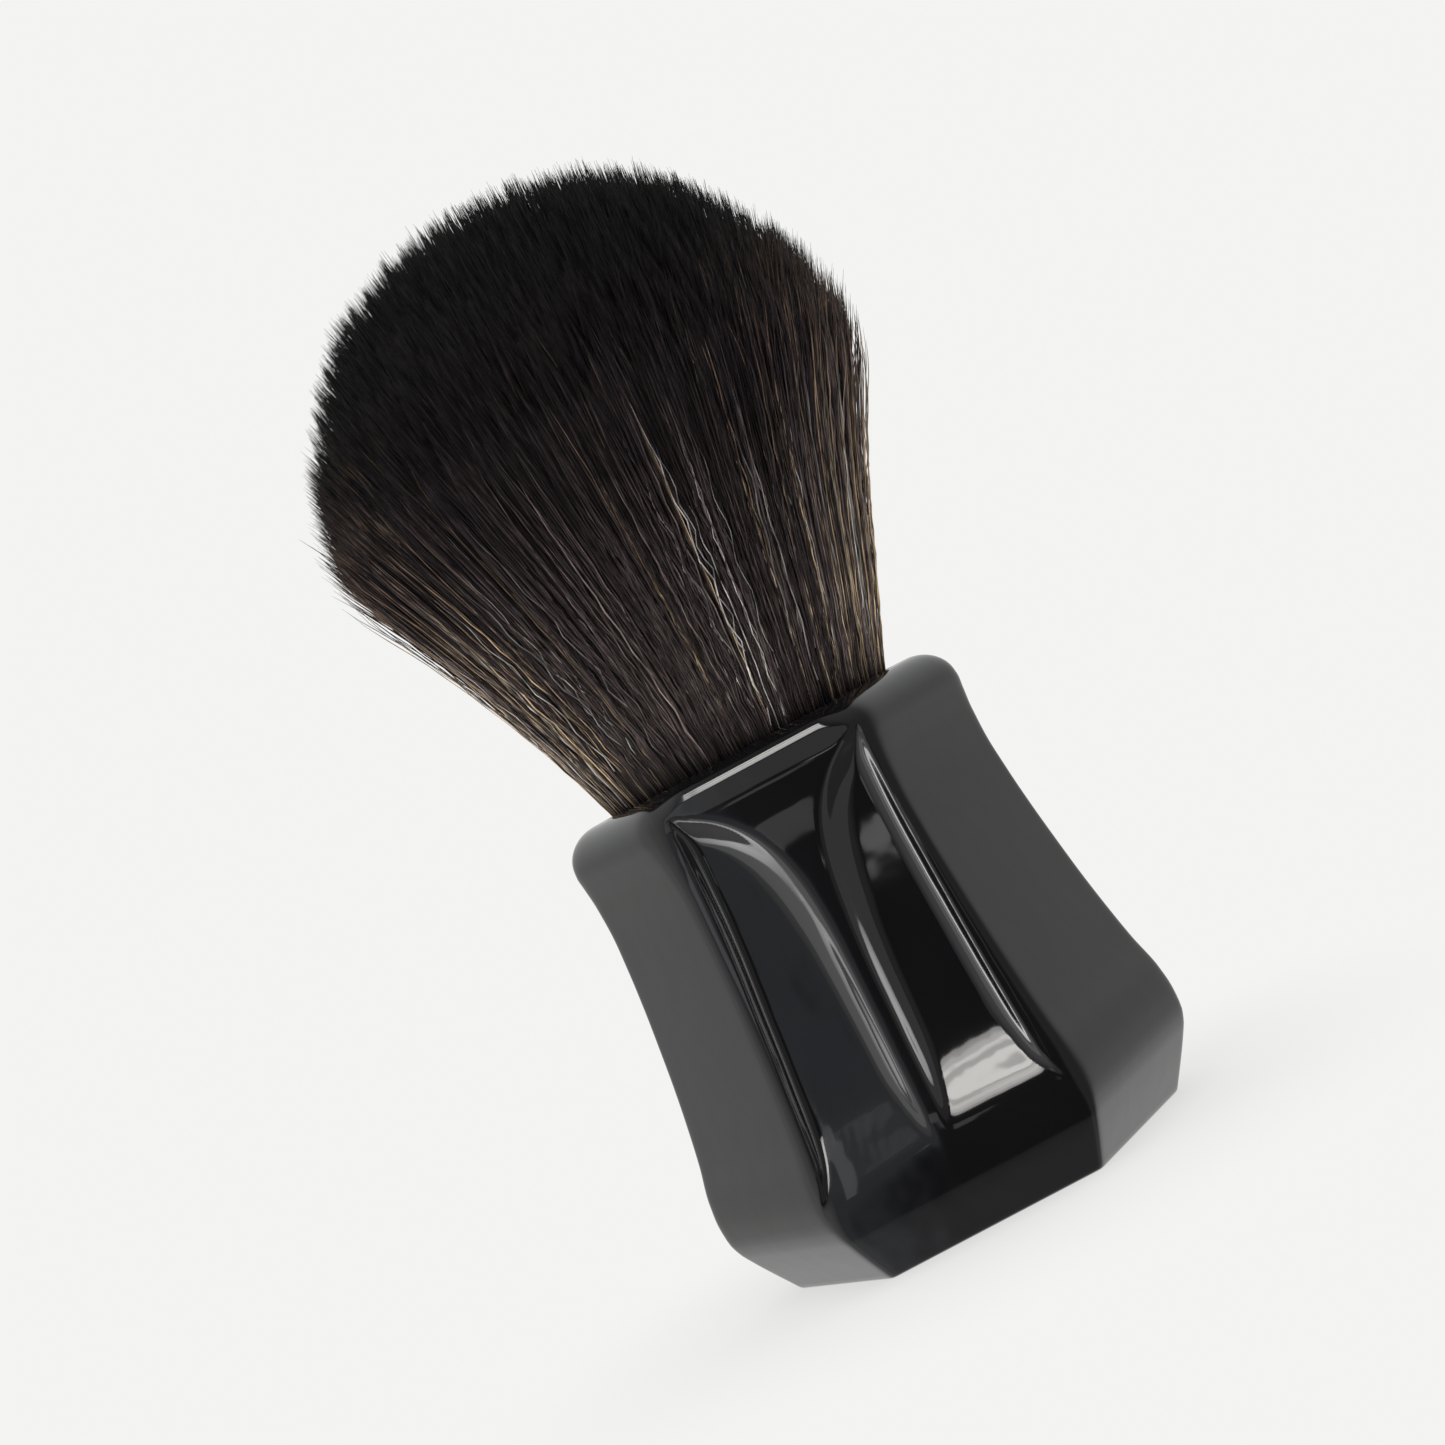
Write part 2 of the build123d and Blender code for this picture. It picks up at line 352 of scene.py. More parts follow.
def hexagon(theta, size, z):
    """Distance from the axis to a soft-cornered hexagon of that corner size, in direction theta."""
    total = 0
    power = float(sharpness(z))
    for facet in range(FACETS):
        apothem = (CARVED if facet % 2 == 0 else PLAIN) * size
        facing = np.cos(theta - facet_angle(facet))
        part = (np.maximum(facing, LEAST_FACING) / apothem * POWER_SCALE) ** power
        total = total + np.where(facing > LEAST_FACING, part, 0)
    return POWER_SCALE * total ** (-1 / power)


def wall_profile(t):
    """A wall that starts out straight and eases into the floor: shares of its depth over t from 0 to 1."""
    t = np.clip(t, 0, 1)
    eased = (1 - STEEP_SHARE) / 2 - (1 - t) ** 2 / (2 * (1 - STEEP_SHARE))
    return np.where(t < STEEP_SHARE, t, STEEP_SHARE + eased) * 2 / (1 + STEEP_SHARE)


def foot_edge(u, away, right):
    """Height of the pockets' lower edges: the right one drops at its outer corner, the left one slopes."""
    level = RIGHT_FOOT - RIGHT_FOOT_DROP * soft_step((u - DROP_FROM) / DROP_RUN)
    return np.where(right, level, LEFT_FOOT - LEFT_FOOT_FALL * away)


def unevenness(u, z, side):
    """The long waves of a hand-polished floor and the ripples near its foot; side tells pockets apart.

    The factors of u and z are turns per millimetre in radians, picked so that no wave repeats another.
    """
    wave = LONG_WAVE * np.sin(0.71 * u + 0.48 * z + 1.7 * side)
    wave = wave + CROSS_WAVE * np.sin(0.37 * u - 0.83 * z + 2.3 * side)
    ripple = np.sin(2.3 * u + 1.3 * np.sin(1.1 * z) + side) * np.sin(4.1 * z + 1.2 * np.sin(1.9 * u))
    ripple = ripple + 0.7 * np.sin(5.3 * u - 2.9 * z + 1.6 * np.sin(1.3 * u + 0.7 * z))
    return wave + FOOT_RIPPLE * ripple * soft_step((RIPPLE_TOP - z) / RIPPLE_FADE)


def pocket(u, z, facet):
    """Depth of the finger pockets below a carved facet at u across and z up."""
    right = u > rib_middle(z)
    away = np.abs(u - rib_middle(z))
    outward = np.abs(u - rib_middle(z) + OUTER_SHIFT)
    slope = (rib_edge(z + SLOPE_STEP) - rib_edge(z - SLOPE_STEP)) / (2 * SLOPE_STEP)
    from_rib = (away - rib_edge(z)) / np.sqrt(1 + slope**2) / rib_wall(z)
    from_outside = (outer_edge(z) - outward) / np.where(right, RIGHT_WALL, LEFT_WALL)
    from_foot = (z - foot_edge(u, away, right)) / FOOT_WALL
    sides = np.logaddexp(-BLEND * from_rib, -BLEND * from_outside)
    t = -np.logaddexp(sides, -BLEND * from_foot) / BLEND
    crisp = soft_step((np.minimum(from_rib, from_foot) - from_outside) / CRISP_REACH)
    softness = EDGE_SOFTNESS + (CRISP_SOFTNESS - EDGE_SOFTNESS) * crisp
    t = softness * np.logaddexp(0, t / softness)
    floor = pocket_depth(z) + FLOOR_TILT * (away - TILT_CENTRE)
    return (floor + unevenness(u, z, np.where(right, 1, -1) + 3 * facet)) * wall_profile(t)


def handle_columns():
    """Directions round the handle: close together across the carved facets and at the corners."""
    columns = []
    half = math.degrees(math.atan(FLAT_HALF_WIDTH / CARVED))
    fine = np.linspace(-1, 1, 2001)
    weight = np.ones_like(fine)
    for place, more, width in DENSE_PLACES:
        weight = weight + more * np.exp(-(((np.abs(fine) - place) / width) ** 2))
    total = np.cumsum(weight) - weight[0]
    places = np.interp(np.linspace(0, total[-1], CARVED_COLUMNS + 1), total, fine)
    for facet in range(FACETS):
        middle = FRONT + FACET_STEP * facet
        if facet % 2 == 0:
            columns += [middle + half * place for place in places[:-1]]
        else:
            rest = FACET_STEP - half
            shares = np.linspace(0, 1, PLAIN_COLUMNS + 1)[:-1]
            columns += [middle - rest * math.cos(math.pi * share) for share in shares]
    return np.radians(np.array(columns))


def lip_round(theta):
    """The rounding of the lip in each direction: smaller over the carved facets."""
    off_middle = np.abs((np.degrees(theta) - FRONT + FACET_STEP) % (2 * FACET_STEP) - FACET_STEP)
    return LIP_ROUND - CARVED_LIP_LESS * soft_step((LIP_CHANGE_END - off_middle) / LIP_CHANGE_RUN)


def carve(x, y, z, theta):
    """A ring of the handle with the pockets pressed into its three carved facets."""
    for facet in range(0, FACETS, 2):
        way = facet_angle(facet)
        u = -x * math.sin(way) + y * math.cos(way)
        turned = np.abs((theta - way + math.pi) % (2 * math.pi) - math.pi)
        depth = np.where(turned < CARVE_REACH, pocket(u, np.full(len(theta), z), facet), 0)
        x = x - depth * math.cos(way)
        y = y - depth * math.sin(way)
    return x, y


def close_ends(mesh):
    """Closes the two small holes on the axis and turns every face outwards."""
    shape = bmesh.new()
    shape.from_mesh(mesh)
    edges = [edge for edge in shape.edges if edge.is_boundary]
    bmesh.ops.holes_fill(shape, edges=edges, sides=0)
    bmesh.ops.recalc_face_normals(shape, faces=shape.faces)
    shape.to_mesh(mesh)
    shape.free()


def build_handle():
    """The handle as rings of points: out over the base, up the outside, in over the rim, down the socket."""
    theta = handle_columns()
    rings = []

    def ring(radius, z):
        rings.append(np.stack([radius * np.cos(theta), radius * np.sin(theta), np.full(len(theta), z)], 1))

    base = hexagon(theta, float(corner(0)), 0)
    for share in BASE_SHARES:
        ring(base * share, 0.0)
    for z, inset in BASE_EDGE:
        ring(hexagon(theta, float(corner(z)) - inset, z), z)
    lip = lip_round(theta)
    levels = list(TAPER_LEVELS) + list(np.arange(FLANK_FOOT, RIM - LIP_ROUND + 0.01, ROW_STEP))
    levels += [RIM - LIP_ROUND * (1 - math.sin(a)) for a in np.linspace(0.02, math.pi / 2, LIP_ROWS)]
    for z in levels:
        over = np.maximum(0, z - (RIM - lip))
        inset = lip - np.sqrt(np.maximum(0, lip**2 - over**2))
        radius = hexagon(theta, float(corner(z)) - LIP_LEAN * inset, z)
        x, y = carve(radius * np.cos(theta), radius * np.sin(theta), z, theta)
        rings.append(np.stack([x, y, np.full(len(theta), z)], 1))
    top = np.hypot(rings[-1][:, 0], rings[-1][:, 1])
    for share in RIM_SHARES:
        ring(top + (MOUTH_R - top) * share, RIM)
    for radius, depth in SOCKET_PROFILE:
        ring(radius, RIM - depth)
    obj = new_mesh("handle_casting", np.concatenate(rings), ring_faces(len(rings), len(theta)))
    close_ends(obj.data)
    return obj


handle = build_handle()
handle.data.materials.append(resin_material())
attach(handle, "handle")
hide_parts("handle_body")


# ---------------------------------------------------------------- knot
SPLIT = 15.0  # height above the rim where the lower fibre pieces hand over to the upper ones
KNOT_R = 13.45  # the bundle's radius at the rim
BLOOM_R = 24.3  # the bundle's radius at its widest
KNOT_SHIFT = 0.35  # the bundle leans this much to the right of the axis
SHIFT_RISE = 8  # the height over which it does so
ROOT_LOW = -0.35  # where the outer fibres start, from the rim
BULGE = 1.1  # how much the bundle bulges near its widest part
# fibres wave less and less up to this height, over the last 16 mm below it, and never stop altogether
WAVE_TOP, WAVE_FADE, LEAST_WAVE = 30, 16, 0.08
WAVE_DEPTH, DEPTH_TURN = 0.6, 1.13  # the waves in and out, over the waves across: their size and their pace
FLARE_POWER = 5
TIP_STRETCH = 7  # the last stretch of a fibre, where it joins its tuft
TAPER_LENGTH = 4.0  # the last stretch of a fibre, where it gets thinner
# height above the rim of the dome of fibre tips, by distance from the axis
dome = smooth_curve(
    [(0, 52.5), (4, 52.25), (8, 51.3), (11.7, 49.8), (15, 47.8), (17.0, 46.0), (18.5, 44.2), (20.0, 42.0),
     (21.5, 39.1), (22.8, 35.9), (23.8, 32.7), (24.6, 29.3), (25.4, 26.3)]
)
# the shade map: upright strips, one for each tone of fibre, and the height from 2 mm under the rim up them
SHADES = 64
UV_HEIGHT = 58.0
UV_FOOT = 2
# the first strip of each kind of fibre
SHADE_DARK, SHADE_LIGHT, SHADE_TAN, SHADE_PAINTED_HIGHLIGHT = 0, 40, 52, 58
# shares of the outer fibres that are lighter and tan, and how many more are on the left and right sides,
# where they paint the light shining through the bundle's thin edges
LIGHT_SHARE, LIGHT_BACKLIT_AT_SIDES = 0.2, 0.15
TAN_SHARE, TAN_BACKLIT_AT_SIDES = 0.015, 0.55
SIDE_FROM, SIDE_RUN = 0.55, 0.45  # where the sides start and fill out: cosines of the angle from the X axis

FULL_LENGTH = 99  # longer than any fibre, so that it starts at the rim
TIP_LENGTH = 13  # the inner fibres only need their ends
OUTER_COUNT, INNER_COUNT, PAINTED_HIGHLIGHT_COUNT = 10000, 19000, 96
OUTER_FROM, INNER_TO = 0.88, 0.95  # shares of the bundle's radius
LOW_SECTORS, HIGH_SECTORS = 3, 6  # pieces round the bundle, below and above SPLIT
LOW_STEPS, HIGH_STEPS, TIP_STEPS = 8, 8, 5  # stretches along a fibre in each piece

CORE_FOOT, CORE_TOP = -6, 50.08  # heights of the ends of the dark core, a sheet of painted shade under the fibres, from the rim
CORE_SHOULDER = 50.05  # just under its closed top
CORE_IN_SOCKET = 12.4  # its largest radius below the rim
CORE_WIDEST = 29.5  # the height where the bundle is widest
UNDER_SIDES, UNDER_TIPS, UNDER_CURVE = 1.15, 2.4, 0.8  # how far it lies under the fibres
AXIS_R = 0.02  # radius of its closed ends

rng = np.random.default_rng(26)
TUFT_COUNT = 2600
tuft_r = BLOOM_R * np.sqrt(rng.uniform(0, 1.06, TUFT_COUNT))
tuft_phi = rng.uniform(0, 2 * math.pi, TUFT_COUNT)
tufts = np.stack([tuft_r * np.cos(tuft_phi), tuft_r * np.sin(tuft_phi)], 1)
tuft_pull = rng.uniform(0.25, 0.95, TUFT_COUNT)
tuft_flare = rng.uniform(0.2, 1.5, TUFT_COUNT)
tuft_lift = rng.normal(0, 0.35, TUFT_COUNT)


def spread(x):
    """How far sideways a fibre is from its root to its tip, at x of its height; it bulges near the tip."""
    return np.where(x < 0, x, x + BULGE * x**6 * (1 - x))


def nearest_tuft(tips):
    """The tuft that each tip belongs to, found for 2000 tips at a time."""
    found = np.empty(len(tips), np.int64)
    for start in range(0, len(tips), 2000):
        part = tips[start : start + 2000]
        gap = (part[:, None, 0] - tufts[None, :, 0]) ** 2 + (part[:, None, 1] - tufts[None, :, 1]) ** 2
        found[start : start + 2000] = gap.argmin(1)
    return found


def ring_of(count, low, high):
    """Roots spread evenly between two circles, as shares of the bundle's radius and angles."""
    return np.sqrt(rng.uniform(low**2, high**2, count)), rng.uniform(0, 2 * math.pi, count)


def fibres(share, phi, reach):
    """Fibres rooted at shares of the bundle's radius, reach millimetres long: an array for each property."""
    count = len(share)
    tip_r = BLOOM_R * share**0.98
    tip_phi = phi + rng.normal(0, 0.012, count)
    tips = np.stack([tip_r * np.cos(tip_phi), tip_r * np.sin(tip_phi)], 1)
    tuft = nearest_tuft(tips)
    side = np.clip((tip_r - 21.6) / 2.7, 0, 1)  # 1 on the widest part of the bundle, where tips vary more
    top = dome(tip_r) + tuft_lift[tuft] + rng.normal(0, 0.3, count) - rng.exponential(0.45, count)
    top = top + side * (rng.normal(0, 0.9, count) - rng.exponential(1.0, count))
    return {
        "share": share,
        "phi": phi,
        "tips": tips,
        "pull": (tufts[tuft] - tips) * tuft_pull[tuft][:, None],
        "flare": side * np.abs(rng.normal(0, 0.3, count)),
        "tip_flare": tuft_flare[tuft] * tip_r / BLOOM_R * rng.uniform(0.7, 1.3, count),
        "top": top,
        "end": top,
        "start": np.maximum(top - reach, ROOT_LOW),
        "wave": np.abs(rng.normal(0.13, 0.06, count)),
        "length": rng.uniform(3.0, 4.6, count),
        "phase": 6 * np.sin(3 * phi) + rng.normal(0, 0.8, count),
        "lean": rng.normal(0, 0.25, count),
        "thick": rng.uniform(0.045, 0.075, count),
        "shade": rng.integers(SHADE_DARK, SHADE_LIGHT, count),
        "turn": rng.uniform(0, 2.1, count),
    }


def path(hairs, h):
    """Points along the fibres at heights h (fibres x steps) above the rim, and their ways out and across."""
    x = h / hairs["top"][:, None]
    radial = np.stack([np.cos(hairs["phi"]), np.sin(hairs["phi"])], 1)
    across = np.stack([-radial[:, 1], radial[:, 0]], 1)
    root = radial * (KNOT_R * hairs["share"])[:, None]
    plan = root[:, None] + (hairs["tips"] - root)[:, None] * spread(x)[..., None]
    near_tip = np.clip(1 - (hairs["top"][:, None] - h) / TIP_STRETCH, 0, 1) ** 2
    plan = plan + hairs["pull"][:, None] * near_tip[..., None]
    fade = np.clip((WAVE_TOP - h) / WAVE_FADE, LEAST_WAVE, 1) * np.clip((h + 0.3) / 2.5, 0, 1)
    wave = hairs["wave"][:, None]
    angle = 2 * math.pi * h / hairs["length"][:, None] + hairs["phase"][:, None]
    sway = wave * np.sin(angle) * fade + hairs["lean"][:, None] * np.sin(math.pi * np.clip(x, 0, 1))
    depth = WAVE_DEPTH * wave * (np.cos(angle * DEPTH_TURN) - 1) * fade
    depth = depth + hairs["flare"][:, None] * np.clip(x, 0, 1.2) ** FLARE_POWER
    depth = depth + hairs["tip_flare"][:, None] * near_tip
    plan = plan + across[:, None] * sway[..., None] + radial[:, None] * depth[..., None]
    plan[..., 0] += KNOT_SHIFT * np.clip(h / SHIFT_RISE, 0, 1)
    return np.concatenate([plan, (h + RIM)[..., None]], -1), radial, across


def tubes(name, hairs, low, high, steps):
    """Three-sided tubes along the fibres between two heights, each in its own strip of the shade map."""
    h = low[:, None] + (high - low)[:, None] * np.linspace(0, 1, steps + 1)[None, :]
    middle, radial, across = path(hairs, h)
    from_tip = hairs["end"][:, None] - h
    width = hairs["thick"][:, None] * np.clip(from_tip / TAPER_LENGTH, 0.04, 1) ** 0.6
    count = len(low)
    points = np.empty((count, steps + 1, 3, 3))
    for k in range(3):
        angle = 2 * math.pi * k / 3 + hairs["turn"]
        out = radial * np.cos(angle)[:, None] + across * np.sin(angle)[:, None]
        points[:, :, k, :2] = middle[..., :2] + out[:, None] * width[..., None]
        points[:, :, k, 2] = middle[..., 2]
    first = np.arange(count)[:, None, None] * (steps + 1) * 3 + np.arange(steps)[None, :, None] * 3
    this = np.arange(3)[None, None, :]
    beside = (this + 1) % 3
    faces = np.stack([first + this, first + beside, first + 3 + beside, first + 3 + this], -1)
    obj = new_mesh(name, points.reshape(-1, 3), faces.reshape(-1, 4))
    strip = hairs["shade"][:, None, None]
    left = np.broadcast_to((strip + 0.1) / SHADES, faces.shape[:3])
    right = np.broadcast_to((strip + 0.9) / SHADES, faces.shape[:3])
    rise = np.clip((h + UV_FOOT) / UV_HEIGHT, 0, 1)
    below = np.broadcast_to(rise[:, :-1, None], faces.shape[:3])
    above = np.broadcast_to(rise[:, 1:, None], faces.shape[:3])
    corners = [(left, below), (right, below), (right, above), (left, above)]
    uv = np.stack([np.stack(place, -1) for place in corners], -2)
    layer = obj.data.uv_layers.new(name="OFBake")
    layer.data.foreach_set("uv", uv.reshape(-1).astype(np.float32))
    return obj


def tone_fibres(hairs):
    """Makes some of the outer fibres lighter and some tan, most of them on the left and right sides, where
    the extra ones are painted light shining through the bundle's thin edges.
    """
    backlit_side = np.clip((np.abs(np.cos(hairs["phi"])) - SIDE_FROM) / SIDE_RUN, 0, 1) ** 1.5
    chance = rng.uniform(0, 1, len(backlit_side))
    lighter = rng.integers(SHADE_LIGHT, SHADE_TAN, len(chance))
    hairs["shade"] = np.where(chance < LIGHT_SHARE + LIGHT_BACKLIT_AT_SIDES * backlit_side, lighter, hairs["shade"])
    tan = rng.integers(SHADE_TAN, SHADE_PAINTED_HIGHLIGHT, len(chance))
    hairs["shade"] = np.where(chance > 1 - TAN_SHARE - TAN_BACKLIT_AT_SIDES * backlit_side, tan, hairs["shade"])


def painted_highlight_fibres(count):
    """Pale crimped fibres on the outside of the bundle, which show for part of its height: painted
    highlights of crimped locks that catch the light.
    """
    hairs = fibres(rng.uniform(0.985, 1.014, count), rng.uniform(0, 2 * math.pi, count), FULL_LENGTH)
    hairs["shade"] = rng.integers(SHADE_PAINTED_HIGHLIGHT, SHADES, count)
    hairs["wave"] = rng.uniform(0.12, 0.3, count)
    hairs["length"] = rng.uniform(3.6, 5.6, count)
    hairs["thick"] = rng.uniform(0.045, 0.075, count)
    hairs["flare"] = 0 * hairs["flare"]
    hairs["start"] = rng.uniform(ROOT_LOW, 7, count)
    hairs["end"] = np.minimum(rng.uniform(19, 29, count), hairs["top"])
    return hairs


def stray_fibres():
    """Fourteen short fibres that stand off: four to the right, four to the left and six anywhere."""
    right, left = rng.normal(0, 0.12, 4), rng.normal(math.pi, 0.15, 4)
    phi = np.concatenate([right, left, rng.uniform(0, 2 * math.pi, 6)])
    hairs = fibres(0.97 + 0 * phi, phi % (2 * math.pi), FULL_LENGTH)
    hairs["flare"] = rng.uniform(0.3, 1.6, len(phi))
    hairs["lean"] = rng.normal(0, 0.4, len(phi))
    hairs["top"] = rng.uniform(30, 35, len(phi))
    hairs["end"] = hairs["top"]
    hairs["pull"] = 0 * hairs["pull"]
    return hairs


def fibre_material():
    """Fibres dyed brown-black, darker towards the tips and darkened near the rim as painted shade; each
    strip of the shade map is one tone of fibre.
    """
    mat, tree, shader = material("synthetic_fibre")
    uv = tree.nodes.new("ShaderNodeUVMap")
    uv.uv_map = "OFBake"
    parts = tree.nodes.new("ShaderNodeSeparateXYZ")
    link(tree, uv.outputs["UV"], parts.inputs[0])
    strip = math_node(tree, "FLOOR", math_node(tree, "MULTIPLY", parts.outputs["X"], SHADES))
    height = math_node(tree, "MULTIPLY", parts.outputs["Y"], UV_HEIGHT)
    # tone along the fibres: the dye, darker towards the tips, and painted shade that darkens them over the
    # first 4 mm above the rim
    dye_and_rim_shade_stops = [
        (2.0, (0.003, 0.0022, 0.0022)),
        (3.4, (0.014, 0.0106, 0.0104)),
        (6.0, (0.027, 0.0205, 0.0200)),
        (18.0, (0.0215, 0.0160, 0.0161)),
        (27.0, (0.0092, 0.0065, 0.0072)),
        (34.0, (0.0044, 0.0031, 0.0036)),
        (44.0, (0.0018, 0.0017, 0.0017)),
        (55.0, (0.0028, 0.0019, 0.0022)),
    ]
    along = ramp_node(tree, height, 0, UV_HEIGHT, dye_and_rim_shade_stops)
    # the kinds of fibre by strip; the pale strips paint the highlights of crimped locks that catch the light
    kind_stops = [
        (SHADE_DARK / SHADES, 0.1),
        (SHADE_LIGHT / SHADES, (0.32, 0.33, 0.31)),
        (SHADE_TAN / SHADES, (1.0, 0.97, 0.62)),
        (SHADE_PAINTED_HIGHLIGHT / SHADES, (0.66, 0.84, 0.80)),
    ]
    kind = ramp_node(tree, parts.outputs["X"], 0, 1, kind_stops, sharp=True)
    one = tree.nodes.new("ShaderNodeTexWhiteNoise")
    one.noise_dimensions = "1D"
    link(tree, strip, one.inputs["W"])
    # a painted glint, standing in for the highlights on crimped fibres and also mottling their tone, is some
    # millimetres long, at other heights on each strip
    place = tree.nodes.new("ShaderNodeCombineXYZ")
    link(tree, math_node(tree, "MULTIPLY", strip, 7.31), place.inputs["X"])
    link(tree, math_node(tree, "MULTIPLY", height, 0.55), place.inputs["Y"])
    painted_glint = tree.nodes.new("ShaderNodeTexNoise")
    painted_glint.inputs["Scale"].default_value = 1
    painted_glint.inputs["Detail"].default_value = 1
    link(tree, place.outputs[0], painted_glint.inputs["Vector"])
    strip_level = span_node(tree, one.outputs["Value"], 0, 1, 0.4, 1.7)
    painted_glint_level = span_node(tree, painted_glint.outputs["Fac"], 0.3, 0.7, 0.45, 1.7)
    level = math_node(tree, "MULTIPLY", strip_level, painted_glint_level)
    colour = tree.nodes.new("ShaderNodeVectorMath")
    colour.operation = "SCALE"
    link(tree, times(tree, along, kind), colour.inputs[0])
    link(tree, math_node(tree, "MULTIPLY", level, 10.0), colour.inputs["Scale"])
    link(tree, colour.outputs["Vector"], shader.inputs["Base Color"])
    link(tree, span_node(tree, one.outputs["Value"], 0, 1, 0.36, 0.5), shader.inputs["Roughness"])
    shader.inputs["Specular IOR Level"].default_value = 0.09
    return mat


def core_material():
    """The deep shade between the fibres, with a fine grain."""
    mat, tree, shader = material("knot_shadow")
    coordinates = tree.nodes.new("ShaderNodeTexCoord")
    grain = noise_node(tree, coordinates, 900, 2)
    tone = ramp_node(tree, grain, 0, 1, [(0.3, (0.004, 0.003, 0.003)), (0.7, (0.010, 0.008, 0.0078))])
    link(tree, tone, shader.inputs["Base Color"])
    link(tree, span_node(tree, grain, 0, 1, 0.8, 1.0), shader.inputs["Roughness"])
    shader.inputs["Specular IOR Level"].default_value = 0.05
    return mat


def core_radius(h):
    """The dark inside of the knot, painted shade, lies a little below the fibres' sides and tips."""
    x = np.clip(h / CORE_WIDEST, 0, 1)
    side = KNOT_R + (BLOOM_R - KNOT_R) * float(spread(x)) - UNDER_SIDES
    low, high = 0.0, BLOOM_R
    for _ in range(40):
        middle = (low + high) / 2
        if float(dome(middle)) - UNDER_TIPS > h:
            low = middle
        else:
            high = middle
    largest = CORE_IN_SOCKET if h < 0 else BLOOM_R
    return min(side, max(low - UNDER_CURVE, AXIS_R), largest)


def core_piece(name, levels, foot, top):
    """A part of the dark core of painted shade, turned round the axis, with a closed end at foot and one at
    top.
    """
    around = 96
    angle = np.arange(around) * 2 * math.pi / around
    outline = [(AXIS_R, foot)] + [(core_radius(h), h) for h in levels] + [(AXIS_R, top)]
    across, along = np.cos(angle), np.sin(angle)
    rings = [np.stack([r * across, r * along, np.full(around, RIM + h)], 1) for r, h in outline]
    return new_mesh(name, np.concatenate(rings), ring_faces(len(rings), around))


def join_sets(*sets):
    return {key: np.concatenate([hairs[key] for hairs in sets]) for key in sets[0]}


def sector(hairs, number, of):
    """The fibres in one of so many equal sectors round the bundle."""
    inside = ((hairs["phi"] / (2 * math.pi) * of).astype(int) % of) == number
    return {key: values[inside] for key, values in hairs.items()}


amount = 1.0
outer = fibres(*ring_of(int(OUTER_COUNT * amount), OUTER_FROM, 1.0), FULL_LENGTH)
inner = fibres(*ring_of(int(INNER_COUNT * amount), 0.0, INNER_TO), TIP_LENGTH)
tone_fibres(outer)
# pale fibres: painted highlights of crimped locks
pale = painted_highlight_fibres(PAINTED_HIGHLIGHT_COUNT)
outer = join_sets(outer, pale, stray_fibres())

lower_parts, upper_parts = [], []
for number in range(LOW_SECTORS):
    hairs = sector(outer, number, LOW_SECTORS)
    ends = np.full(len(hairs["start"]), SPLIT)
    lower_parts.append(tubes(f"fibres_low_{number}", hairs, hairs["start"], ends, LOW_STEPS))
for number in range(HIGH_SECTORS):
    hairs = sector(outer, number, HIGH_SECTORS)
    starts = np.full(len(hairs["end"]), SPLIT)
    upper_parts.append(tubes(f"fibres_high_{number}", hairs, starts, hairs["end"], HIGH_STEPS))
    hairs = sector(inner, number, HIGH_SECTORS)
    starts = np.maximum(hairs["start"], SPLIT)
    upper_parts.append(tubes(f"fibres_tip_{number}", hairs, starts, hairs["top"], TIP_STEPS))
low_core = core_piece("knot_shade_core_low", np.linspace(CORE_FOOT, SPLIT, 12), CORE_FOOT, SPLIT)
high_core = core_piece("knot_shade_core_high", np.linspace(SPLIT, CORE_SHOULDER, 40), SPLIT, CORE_TOP)

mat_fibre = fibre_material()
mat_core = core_material()
for obj in lower_parts + [low_core]:
    obj.data.materials.append(mat_core if obj is low_core else mat_fibre)
    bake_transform(obj)
    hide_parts("fibre_root", "fibre_belly")
for obj in upper_parts + [high_core]:
    obj.data.materials.append(mat_core if obj is high_core else mat_fibre)
    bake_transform(obj)
    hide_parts("fibre_crown", "fibre_belly")


# ---------------------------------------------------------------- floor and backdrop
PAPER = (0.9, 0.9, 0.885, 1)
FLOOR_HALF = 1.5  # half the floor's width in metres
CONTACT_REACH = 0.03  # how far from the object its contact shadow goes, in metres


def stage_floor():
    """A pale floor, as bright as the backdrop, with a soft contact shadow."""
    mesh = bpy.data.meshes.new("floor")
    half = FLOOR_HALF
    corners = [(-half, -half, 0), (half, -half, 0), (half, half, 0), (-half, half, 0)]
    mesh.from_pydata(corners, [], [(0, 1, 2, 3)])
    floor = bpy.data.objects.new("floor", mesh)
    bpy.context.scene.collection.objects.link(floor)
    mat, tree, shader = material("floor_paper")
    tree.nodes.remove(shader)
    near = tree.nodes.new("ShaderNodeAmbientOcclusion")
    near.inputs["Distance"].default_value = CONTACT_REACH
    near.inputs["Color"].default_value = (1, 1, 1, 1)
    glow = tree.nodes.new("ShaderNodeEmission")
    glow.inputs["Color"].default_value = PAPER
    link(tree, span_node(tree, near.outputs["AO"], 0, 1, 0.7, 1.0), glow.inputs["Strength"])
    link(tree, glow.outputs[0], tree.nodes["Material Output"].inputs["Surface"])
    floor.data.materials.append(mat)
    floor.visible_glossy = False


